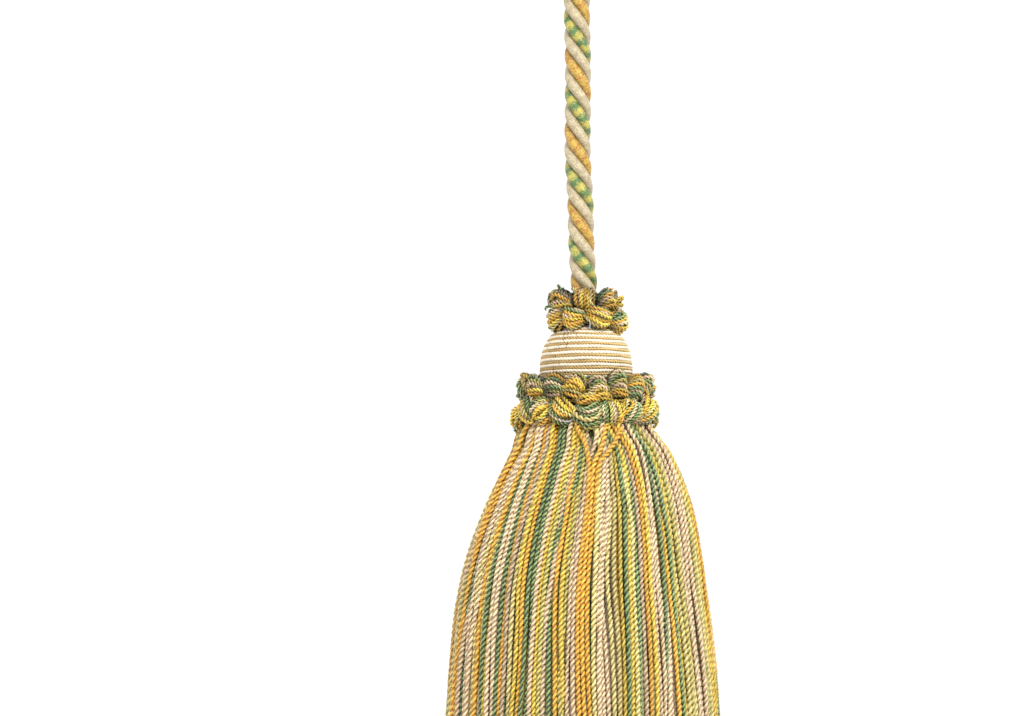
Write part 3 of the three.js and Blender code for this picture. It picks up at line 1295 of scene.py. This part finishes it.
def upper_ruff() -> Ruff:
    """The small ruff round the foot of the cord."""
    upper = Row(
        height=-176.2,
        length=6.6,
        width=6.6,
        bulge=2.8,
        droop=2.6,
        start=-0.11,
        facing=(7, 8, 6, 1, 4, 9, 2, 9),
        tilts=(78, 5, -10, 60, -15, 20, -40, 8),
    )
    lower = Row(
        height=-183.0,
        length=7.6,
        width=6.8,
        bulge=4.6,
        droop=-1.4,
        start=0.5,
        facing=(7, 9, 3, 6, 8, 1, 7, 8),
        tilts=(-14, 12, 35, -20, 60, -30, 10, -18),
    )
    white = ((0.4, -180.6, 9.2), (1.0, -182.2, 11.2), (1.3, -184.4, 12.0), (1.0, -186.4, 10.8))
    leaf = ((-9.0, -177.0, 9.6), (-11.4, -178.0, 12.0), (-13.0, -178.4, 13.3), (-13.6, -179.4, 14.1))
    top_leaf = ((-6.2, -175.0, 8.0), (-7.6, -173.2, 9.0), (-8.8, -172.0, 9.9), (-9.6, -171.4, 10.8))
    amber = ((5.6, -175.4, 8.0), (7.0, -174.0, 9.0), (8.0, -172.9, 10.0), (8.9, -172.6, 11.0))
    lime = ((-4.6, -172.6, 7.2), (-2.4, -173.6, 9.8), (0.4, -176.0, 11.2), (2.0, -178.6, 10.2))
    return Ruff(
        node="upper_ruff",
        lobes=8,
        rows=(upper, lower),
        dyes=dyes_in("gbgalyayba"),
        seat_radius=7.2,
        inner_radius=5.6,
        outer_radius=14.2,
        askew=0.7,
        seed=11,
        stray_turns=(0.0, 200.0),
        strays=(
            Stray(Dye.SEWING_WHITE, 0.5, white),
            Stray(Dye.LEAF, 1.1, leaf),
            Stray(Dye.LEAF, 1.1, top_leaf),
            Stray(Dye.AMBER, 1.1, amber),
            Stray(Dye.LIME, 1.2, lime),
        ),
    )


def lower_ruff() -> Ruff:
    """The large ruff round the foot of the head."""
    upper = Row(
        height=-205.1,
        length=6.8,
        width=8.6,
        bulge=3.5,
        droop=3.2,
        start=0.45,
        facing=(8, 9, 3, 0, 3, 7, 1, 5, 9, 6, 2, 8, 4, 2, 8, 1, 6),
        tilts=(6, 12, -14, -50, 10, 65, -8, 16, -35, 4, 72, -12, 20, -60, 8, -10, -4),
    )
    lower = Row(
        height=-214.2,
        length=7.8,
        width=7.8,
        bulge=5.2,
        droop=-1.8,
        start=1.03,
        facing=(9, 1, 4, 3, 8, 0, 6, 4, 1, 9, 5, 2, 7, 9, 7, 4, 2),
        tilts=(82, 76, 50, -20, 60, -50, 15, 80, -30, 40, -65, 10, 70, -55, 25, -42, 4),
    )
    lime = (
        *((-4.2, -213.4, 21.6), (-3.6, -215.6, 24.0), (-1.2, -217.2, 25.0)),
        *((1.6, -217.4, 25.1), (3.9, -216.2, 24.8), (5.0, -213.8, 22.4)),
    )
    leaf = (
        *((-4.8, -215.6, 21.8), (-2.6, -218.2, 24.0), (0.4, -219.2, 24.6)),
        *((3.2, -218.5, 24.2), (5.4, -216.0, 22.0)),
    )
    olive = (
        *((-4.2, -216.6, 21.6), (-2.0, -219.2, 23.3), (0.6, -220.3, 23.9)),
        *((3.0, -219.6, 23.5), (5.0, -217.0, 21.6)),
    )
    white = ((-16.8, -209.6, 19.4), (-16.4, -211.4, 22.4), (-16.0, -213.4, 22.6), (-15.8, -215.0, 20.4))
    low_white = ((-10.4, -216.2, 20.8), (-8.6, -217.4, 23.2), (-6.4, -218.0, 23.6), (-4.2, -217.0, 21.6))
    yellow = ((-22.4, -213.6, 23.0), (-20.6, -217.0, 24.6), (-18.4, -217.8, 24.4), (-17.0, -214.6, 22.0))
    return Ruff(
        node="lower_ruff",
        lobes=17,
        rows=(upper, lower),
        dyes=dyes_in("gbgalyaybo"),
        parts=2,
        foot_flare=4.0,
        padding_foot=7.5,
        uneven=0.8,
        rise=0.4,
        waist=(-208.9, -210.4),
        waist_radius=20.6,
        seat_radius=17.6,
        inner_radius=16.8,
        outer_radius=25.2,
        seed=23,
        strays=(
            Stray(Dye.LIME, 1.5, lime),
            Stray(Dye.LEAF, 1.3, leaf),
            Stray(Dye.OLIVE, 1.3, olive),
            Stray(Dye.SEWING_WHITE, 0.5, white),
            Stray(Dye.SEWING_WHITE, 0.5, low_white),
            Stray(Dye.YELLOW, 1.2, yellow),
        ),
    )


# ---- The skirt ----------------------------------------------------------------------------------


@dataclass(frozen=True)
class Pull:
    """An outer yarn whose top is pulled aside, over its neighbours."""

    place: int  # its number from the front towards +X
    aside: float
    over: float  # the length over which it is pulled
    proud: float  # how far it lies outside the bell there


@dataclass
class Skirt:
    """The fringe: yarns that leave the ruff crowded several deep and hang side by side at the hem."""

    outer_count: int = 164
    under_count: int = 140
    inner_count: int = 560
    spacing: float = 1.4  # between yarns' middles
    widest: float = 2.2  # from one outer yarn's middle to the next one's
    bell_start: float = -219.0
    bell_final_radius: float = 48.5
    bell_spread: float = 25.5
    bell_ease: float = 42.0
    join: float = -226.8  # height at which the yarns reach the bell from under the ruff
    lean: float = 1.5  # of the bell to +X at its top, and to -X further down
    lean_top: float = -227.0
    lean_depth: float = 52.0
    hem: float = -331.0
    crown: float = 3.0  # the middle of the hem hangs this much lower
    hollow: float = 5.2  # how far inside the bell the inner yarns stay
    core_radius: float = 15.0  # and from the axis where they start
    ragged: float = 0.9  # how unevenly the hem is cut
    levels: int = 34  # at which the yarns find room
    rounds: int = 90
    seed: int = 5
    sectors: int = 3  # pieces that the outer yarns are shared between
    tied_at: tuple[float, float] = (17.4, -213.6)  # radius and height of the yarns' tops, under the ruff
    thrown: tuple[float, float] = (3.6, -1.8)  # how they set out from there
    tufts: int = 30  # that the yarns leave the ruff in
    crowded: float = 4.6  # how deep they lie there
    crowded_for: float = 16.0  # how far down they spread out to one layer
    leaning_for: float = 11.0  # and how far down their tops' leaning lasts
    tuft_lean: float = 2.4  # of a tuft's top to the side
    own_lean: float = 0.9  # of a yarn's, beside its tuft's
    # how many locks there are round the skirt, and how far they stray
    lock_sways: tuple[tuple[int, float], ...] = ((7, 0.55), (17, 0.34), (31, 0.32), (44, 0.28))
    # the shortest and the longest of a yarn's own waves, and how far it strays by them
    own_sways: tuple[tuple[float, float, float], ...] = ((80, 140, 1.1), (40, 60, 0.5), (20, 32, 0.24))
    swayed_from: float = 22.0  # how far down both are whole
    outer_yarn: Yarn = field(default_factory=lambda: Yarn(1.55, SOFT_PAIR, 0.64, lay=4.2, uneven=0.3))
    under_yarn: Yarn = field(default_factory=lambda: Yarn(1.55, Outline.round(6), 4.0))
    inner_yarn: Yarn = field(default_factory=lambda: Yarn(1.75, Outline.round(5), 14.0))
    cut_end: Yarn = field(default_factory=lambda: Yarn(1.75, Outline.round(6), 0.62))
    cut_length: float = 2.5
    shares: tuple[tuple[Dye, float], ...] = (
        (Dye.LEAF, 0.15),
        (Dye.AMBER, 0.14),
        (Dye.YELLOW, 0.14),
        (Dye.LIME, 0.22),
        (Dye.BEIGE, 0.27),
        (Dye.OLIVE, 0.08),
    )
    rightward: str = "aalbbbllygylgbaybbbgbagylolbbboolboyyalbg"  # the dyes' order from the front to one side
    leftward: str = "abboyagboybggaylbagbbygoalbbgbaaolblybagl"  # and to the other
    # outer yarns that cross their neighbours under the ruff, and how far the top of each leans
    crossing: tuple[tuple[int, float], ...] = ((-1, -2.6), (0, -3.8), (2, 3.4), (3, 4.2))
    pulled: tuple[Pull, ...] = (
        Pull(-1, -1.8, 12.0, 1.2),
        Pull(0, 5.6, 14.0, 1.2),
        Pull(1, 9.4, 14.0, 1.2),
        Pull(-2, 2.4, 12.0, 0.0),
    )
    pulled_out: tuple[float, float] = (6.0, 11.0)  # how far down they come out of the bell
    pulled_down_to: float = 23.5  # and how far down they start to go back into it
    pulled_ease: float = 16.0  # over what length they do
    swell: Waves = ((0.35, 5, 1.0), (0.3, 11, 2.0), (0.2, 23, 0.0))  # of the bell, round it
    locks: Waves = ((1.1, 9, 0.0), (0.7, 23, 0.0))  # of the hem, round it
    outer_tones: tuple[float, ...] = (1.03, 1.03, 1.02, 1.01, 1.0, 0.98, 0.96, 0.93, 0.9)  # down a yarn
    # painted shade: the under yarns are coloured darker, less so at the top and at their ends where they show
    # at the hem
    under_shades: tuple[float, ...] = (0.95, 0.7, *(0.52,) * 12, 0.8)
    # painted shade: the inner yarns are coloured darker, but for their ends at the hem
    inner_shades: tuple[float, ...] = (*(0.3,) * 12, 0.9)
    brush: float = 3.0  # length of a yarn's end that opens out
    rounded: float = 0.7  # length of its end that closes again

    def bell(self, z: np.ndarray) -> np.ndarray:
        """The bell's radius at a height."""
        return self.bell_final_radius - self.bell_spread * np.exp((z - self.bell_start) / self.bell_ease)

    def shift(self, z: np.ndarray) -> np.ndarray:
        """How far the bell stands to +X at a height."""
        swung = np.clip((self.lean_top - z) / self.lean_depth, 0, 1)
        return self.lean * np.cos(math.pi * swung) * np.clip((-220.5 - z) / 6.0, 0, 1)

    def profile(self) -> np.ndarray:
        """The line that an outermost yarn's middle follows.

        Returns:
            Radius, a zero and height at each point, from under the ruff to past the hem, in mm.
        """
        thick = self.spacing / 2
        start, end = np.array(self.tied_at), np.array([self.bell(self.join) - thick, self.join])
        slope = unit(np.array([self.bell(self.join - 1) - self.bell(self.join), -1.0]))
        t = np.linspace(0, 1, 20)[:, None]
        out, back = start + np.array(self.thrown), end - 5 * slope
        shoulder = (1 - t) ** 3 * start + 3 * (1 - t) ** 2 * t * out + 3 * (1 - t) * t**2 * back + t**3 * end
        z = np.linspace(self.join, self.hem - 8, 60)[1:]
        line = np.vstack([shoulder, np.stack([self.bell(z) - thick, z], axis=1)])
        return np.stack([line[:, 0], 0 * line[:, 0], line[:, 1]], axis=1)

    def dye_run(self, rng: np.random.Generator, count: int) -> list[Dye]:
        """Dyes for neighbouring yarns, which come in short runs of one dye.

        Args:
            rng: the source of chance.
            count: how many yarns.

        Returns:
            A dye for each yarn.
        """
        dyes, weights = zip(*self.shares)
        chosen: list[Dye] = []
        while len(chosen) < count:
            dye_and_shading = dyes[rng.choice(len(dyes), p=np.array(weights) / sum(weights))]
            if chosen and dye_and_shading is chosen[-1]:
                continue
            chosen.extend([dye_and_shading] * int(rng.choice([1, 2, 3, 4], p=[0.5, 0.3, 0.14, 0.06])))
        return chosen[:count]

    def wandering(self, rng: np.random.Generator, base: np.ndarray, runs: np.ndarray) -> np.ndarray:
        """How far yarns stray to the side: in locks together, and each in its own slow waves.

        Args:
            rng: the source of chance.
            base: each yarn's angle at its start.
            runs: the levels' distance down the profile.

        Returns:
            The distance for each yarn at each level, in mm.
        """
        strayed = np.zeros((len(base), len(runs)))
        for cycles, reach in self.lock_sways:
            for swings in (0.8, 1.7):
                turn = rng.uniform(0, TURN)
                strayed += reach * np.sin(cycles * base[:, None] + TURN * swings * runs / runs[-1] + turn)
        for shortest, longest, reach in self.own_sways:
            wave = rng.uniform(shortest, longest, (len(base), 1))
            strayed += reach * np.sin(TURN * (runs / wave + rng.uniform(0, 1, (len(base), 1))))
        return strayed * np.clip(runs / self.swayed_from, 0.1, 1)

    def started(
        self, rng: np.random.Generator, outer: np.ndarray, runs: np.ndarray, radius: np.ndarray
    ) -> tuple[np.ndarray, np.ndarray]:
        """Lays out the outer and the under yarns, before they find room.

        Args:
            rng: the source of chance.
            outer: whether each yarn is an outer one.
            runs: the levels' distance down the profile.
            radius: the profile's radius at each level.

        Returns:
            Each yarn's angle and the depth that it keeps to, at each level.
        """
        count = len(outer)
        base = TURN * (np.arange(count) + rng.uniform(-0.3, 0.3, count)) / count
        crowd = np.exp(-runs / self.crowded_for)
        tuft = np.floor(base / TURN * self.tufts).astype(int) % self.tufts
        tuft_lean = self.tuft_lean * rng.normal(0, 1, self.tufts)[tuft]
        own_lean = rng.normal(0, 1, count)
        sideways = np.where(outer, tuft_lean + self.own_lean * own_lean, 0.5 * own_lean)[:, None]
        sideways = sideways * np.exp(-runs / self.leaning_for)
        deep = np.where(outer, rng.uniform(0, 1.2, count), rng.uniform(2.0, 3.0, count))[:, None]
        turns = runs / rng.uniform(50, 110, (count, 1)) + rng.uniform(0, 1, (count, 1))
        deep = deep + np.where(outer, 0.5, 0.2)[:, None] * np.sin(TURN * turns)
        rank = rng.uniform(0, 1, (count, 1)) + np.where(outer, 0.0, 0.5)[:, None]
        fronts = np.flatnonzero(outer)
        for place, lean in self.crossing:
            sideways[fronts[place]] = lean * np.clip(1 - runs / self.leaning_for, 0, 1)
            rank[fronts[place]] = 0.0
        angle = base[:, None] + (sideways + self.wandering(rng, base, runs)) / radius
        return angle, deep * (1 - crowd) + self.crowded * rank * crowd

    def settled(self, rng: np.random.Generator) -> tuple[np.ndarray, np.ndarray, np.ndarray, np.ndarray]:
        """Lets the outer and the under yarns find room beside and behind each other.

        Args:
            rng: the source of chance.

        Returns:
            Each yarn's angle and its depth under the bell at each level, the levels' distance down the
            profile, and whether each yarn is an outer one.
        """
        line = self.profile()
        runs = float(run_of(line)[-1]) * (np.arange(self.levels) / (self.levels - 1)) ** 1.25
        radius = spaced_at(line, runs)[:, 0]
        count = self.outer_count + self.under_count
        outer = np.zeros(count, bool)
        outer[np.round(np.linspace(0, count - 1, self.outer_count)).astype(int)] = True
        fronts = np.flatnonzero(outer)
        angle, wanted = self.started(rng, outer, runs, radius)
        depth = wanted.copy()
        pressure, closing, homing, smoothing = 0.22, 0.12, 0.1, 0.3
        for _ in range(self.rounds):
            for step in range(1, 9):
                across = gap_after(angle, step) * (radius - depth)
                deeper = np.roll(depth, -step, 0) - depth
                far = np.maximum(np.hypot(across, deeper), 0.05)
                push = pressure * np.clip(self.spacing - far, 0, None) / far
                move = push * across / (radius - depth)
                angle = angle - move + np.roll(move, step, 0)
                depth = depth - push * deeper + np.roll(push * deeper, step, 0)
            apart = gap_after(angle[fronts], 1)
            drawn = closing * np.clip(apart - self.widest / (radius - depth[fronts]), 0, None)
            angle[fronts] += drawn - np.roll(drawn, 1, 0)
            depth += homing * (wanted - depth)
            depth = np.maximum(depth, 0.0)
            for part in (angle, depth):
                part[:, 1:-1] += smoothing * ((part[:, :-2] + part[:, 2:]) / 2 - part[:, 1:-1])
        for pull in self.pulled:
            number = fronts[pull.place]
            angle[number] += pull.aside * np.clip((self.pulled_down_to - runs) / pull.over, 0, 1.2) / radius
            knees = [*self.pulled_out, self.pulled_down_to, self.pulled_down_to + self.pulled_ease]
            raised = np.interp(runs, knees, [0, 1, 1, 0])
            depth[number] = (1 - raised) * depth[number] - raised * pull.proud
        return angle, depth, runs, outer

    def hung(self, angle: np.ndarray, depth: np.ndarray, runs: np.ndarray) -> tuple[np.ndarray, np.ndarray]:
        """Places yarns in space from their angles and depths.

        Args:
            angle: each yarn's angle at each level.
            depth: each yarn's depth under the bell at each level.
            runs: the levels' distance down the profile.

        Returns:
            The yarns' points (yarn, level, 3), and the way outward at each.
        """
        line = self.profile()
        at = spaced_at(line, runs)
        slope = unit(spaced_at(line, runs + 0.4) - spaced_at(line, np.maximum(runs - 0.4, 0)))
        over, rise = -slope[:, 2], slope[:, 0]
        sunk = depth - waves_at(self.swell, angle) * np.clip(runs / 40, 0, 1)
        radius = at[:, 0] - sunk * over
        z = at[:, 2] - sunk * rise
        points = round_the_axis(angle, radius, z)
        points[..., 0] += self.shift(z)
        return points, round_the_axis(angle, np.broadcast_to(over, z.shape), np.broadcast_to(rise, z.shape))

    def cut_to(self, way: np.ndarray, hem: float) -> np.ndarray:
        """Cuts a yarn's way off at a height."""
        end = float(np.interp(-hem, -way[:, 2], run_of(way)))
        return spaced_at(way, np.linspace(0, end, 90))

    def build(self) -> list[bpy.types.Object]:
        """Makes the skirt's yarns.

        Returns:
            Its pieces.
        """
        rng = np.random.default_rng(self.seed)
        angle, depth, runs, outer = self.settled(rng)
        points, outward = self.hung(angle, depth, runs)
        dyes = self.dye_run(rng, len(outer))
        order = dyes_in(self.rightward + self.leftward[::-1])
        for place, number in enumerate(np.flatnonzero(outer)):
            dyes[number] = order[place % len(order)]
        fronts = [Skein() for _ in range(self.sectors)]
        under = Skein()
        finish = YarnFinish("skirt_dyed_and_shaded").material()
        plied = YarnFinish("skirt_inner_dyed_and_shaded", surface_lay=4.3).material()
        for number, is_outer in enumerate(outer):
            foot = angle[number, -1]
            way = curve_through(np.hstack([points[number], outward[number]]), 6)
            lock = float(waves_at(self.locks, foot))
            way = self.cut_to(way, self.hem + lock + rng.normal(0, self.ragged) + (0.0 if is_outer else 0.6))
            length = float(run_of(way)[-1])
            to_end = length - np.linspace(0, length, 240)
            brush = np.clip(2 * (1 - to_end / self.brush), 0, 1)
            closing = np.clip(1 - to_end / self.rounded, 0, 1)
            swell = 1 + rng.uniform(0.1, 0.3) * brush - 0.45 * closing**2
            yarn = self.outer_yarn if is_outer else self.under_yarn
            thickness = yarn.diameter * np.clip(rng.normal(1.0, 0.06), 0.88, 1.12)
            yarn = replace(yarn, diameter=thickness, lay=yarn.lay * rng.uniform(0.88, 1.14))
            if is_outer:
                skein = fronts[int((foot % TURN) / TURN * self.sectors) % self.sectors]
                tone = rng.normal(0.98, 0.11) * np.array(self.outer_tones)
            else:
                skein = under
                # painted shade for the under yarns
                tone = np.array(self.under_shades)
            yarn.spin(skein, way, dyes[number], rng.uniform(0, TURN), swell, 0.45 * brush, tone)
            if not is_outer:
                self.cut(rng, skein, way, dyes[number])
        made = [skein.piece(f"skirt_outer_{sector + 1}", [finish]) for sector, skein in enumerate(fronts)]
        made.append(under.piece("skirt_under", [plied]))
        made.append(self.filling(rng).piece("skirt_inner", [plied]))
        for piece in made:
            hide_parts("skirt")
        return made

    def cut(self, rng: np.random.Generator, skein: Skein, way: np.ndarray, dye_and_shading: Dye) -> None:
        """Opens a yarn's cut end out into a soft round tip.

        Args:
            rng: the source of chance.
            skein: where the tip goes.
            way: the yarn's points and the way outward at each, down to its end.
            dye_and_shading: which yarn colour it takes, with the lot's painted highlight and painted shade.
        """
        down = unit(way[-1, :3] - way[-2, :3])
        down = unit(down + rng.normal(0, 0.12, 3) * np.array([1.0, 1.0, 0.0]))
        reach = self.cut_length * rng.uniform(0.8, 1.2) * np.linspace(0, 1, 5)[:, None]
        tip = way[-1, :3] - 0.5 * down + reach * down
        tip = np.hstack([tip, np.broadcast_to(way[-1, 3:], tip.shape)])
        swell = np.array([0.8, 1.12, 1.22, 1.12, 0.6]) * rng.uniform(0.9, 1.1)
        fade = np.array([0.0, 0.4, 0.4])
        self.cut_end.spin(skein, tip, dye_and_shading, rng.uniform(0, TURN), swell, fade)

    def filling(self, rng: np.random.Generator) -> Skein:
        """Makes the yarns inside, which fill the hem.

        Args:
            rng: the source of chance.

        Returns:
            Their skein.
        """
        inside = Skein()
        dyes = self.dye_run(rng, self.inner_count)
        start = -222.0
        golden = math.pi * (3 - math.sqrt(5))
        # painted shade for the inner yarns
        tone = np.array(self.inner_shades)
        z = np.linspace(start, self.hem - 6, 14)
        top = np.clip((start - z) / 12.0, 0, 1)
        edge = (self.bell(z) - self.hollow) * top + self.core_radius * (1 - top)
        for number in range(self.inner_count):
            share = math.sqrt((number + 0.5) / self.inner_count)
            angle = number * golden + 0.05 * np.sin(z / 17 + rng.uniform(0, TURN))
            way = way_round(angle, share * edge, z)
            way[:, 0] += self.shift(z)
            drop = self.crown * (1 - share**2) - 0.4
            way = self.cut_to(way, self.hem - drop + rng.normal(0, self.ragged))
            self.inner_yarn.spin(inside, way, dyes[number], rng.uniform(0, TURN), tone=tone)
            self.cut(rng, inside, way, dyes[number])
        return inside


# ---- The studio ---------------------------------------------------------------------------------


@dataclass
class Studio:
    """A pale paper bowl, soft light and the camera, in metres."""

    floor: float = -0.75
    flat_radius: float = 6.0
    curve: float = 2.0
    wall: float = 2.6
    sides: int = 96
    sky: float = 1.15
    key_power: float = 65.0
    key_place: Place = (0.85, -2.5, 1.75)
    key_size: float = 0.8
    camera_distance: float = 3.0
    camera_elevation: float = math.radians(-4)
    aim: Place = (-0.0227, 0.0, -0.1953)
    view_width: float = 0.3453  # seen at the tassel
    sensor: float = 36.0

    def build(self) -> None:
        """Makes the paper, the lights and the camera."""
        self.paper()
        self.light()
        self.camera()

    def paper(self) -> None:
        """Makes the bowl of paper."""
        bend = np.linspace(0, math.pi / 2, 16)
        edge = self.flat_radius + self.curve
        radius = np.concatenate([[0.001], self.flat_radius + self.curve * np.sin(bend), [edge]])
        z = np.concatenate([[0.0], self.curve * (1 - np.cos(bend)), [self.wall]]) + self.floor
        angles = np.linspace(0, TURN, self.sides, endpoint=False)
        rings = round_the_axis(angles[None, :], radius[:, None], z[:, None])
        mesh = bpy.data.meshes.new("paper_bowl")
        index = np.arange(len(radius) * self.sides).reshape(-1, self.sides)
        beside = np.roll(index, -1, 1)
        quads = np.stack([index[:-1], beside[:-1], beside[1:], index[1:]], axis=-1).reshape(-1, 4)
        mesh.from_pydata(rings.reshape(-1, 3).tolist(), [], [*quads.tolist(), index[0, ::-1].tolist()])
        mesh.shade_smooth()
        mesh.materials.append(PaperFinish().material())
        bowl = bpy.data.objects.new("paper_bowl", mesh)
        bpy.context.scene.collection.objects.link(bowl)

    def light(self) -> None:
        """Makes the even sky and the soft light from the upper right."""
        scene = bpy.context.scene
        world = bpy.data.worlds.new("soft_sky")
        world.use_nodes = True
        world.node_tree.nodes["Background"].inputs["Strength"].default_value = self.sky
        world.node_tree.nodes["Background"].inputs["Color"].default_value = (1.0, 1.0, 1.0, 1.0)
        scene.world = world
        scene.view_settings.view_transform = "Standard"
        lamp = bpy.data.lights.new("window_light", "AREA")
        lamp.shape = "DISK"
        lamp.size = self.key_size
        lamp.energy = self.key_power
        holder = bpy.data.objects.new("window_light", lamp)
        holder.location = self.key_place
        holder.rotation_euler = (Vector(self.aim) - holder.location).to_track_quat("-Z", "Y").to_euler()
        scene.collection.objects.link(holder)

    def camera(self) -> None:
        """Makes the camera."""
        lens = bpy.data.cameras.new("camera")
        lens.sensor_width = self.sensor
        lens.lens = self.sensor * self.camera_distance / self.view_width
        lens.clip_start = 0.1
        lens.clip_end = 40.0
        holder = bpy.data.objects.new("camera", lens)
        back = Vector((0.0, -math.cos(self.camera_elevation), math.sin(self.camera_elevation)))
        holder.location = Vector(self.aim) + self.camera_distance * back
        holder.rotation_euler = (-back).to_track_quat("-Z", "Y").to_euler()
        bpy.context.scene.collection.objects.link(holder)
        bpy.context.scene.camera = holder


# ---- The whole tassel ---------------------------------------------------------------------------


def write_sizes() -> None:
    """Brings the scene's transforms up to date.
    """
    bpy.context.view_layer.update()


def main() -> None:
    """Builds the tassel and its studio."""
    logging.basicConfig(level=logging.INFO, format="%(name)s: %(message)s")
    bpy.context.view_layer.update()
    Studio().build()
    binding = LoopBinding().build()
    made = [binding, HangingCord().build(binding)]
    for part in (Head(), upper_ruff(), lower_ruff(), Skirt()):
        made.extend(part.build())
    for piece in made:
        LOG.info("%s: %d faces", piece.name, len(piece.data.polygons))
    write_sizes()


if __name__ == "__main__":
    main()
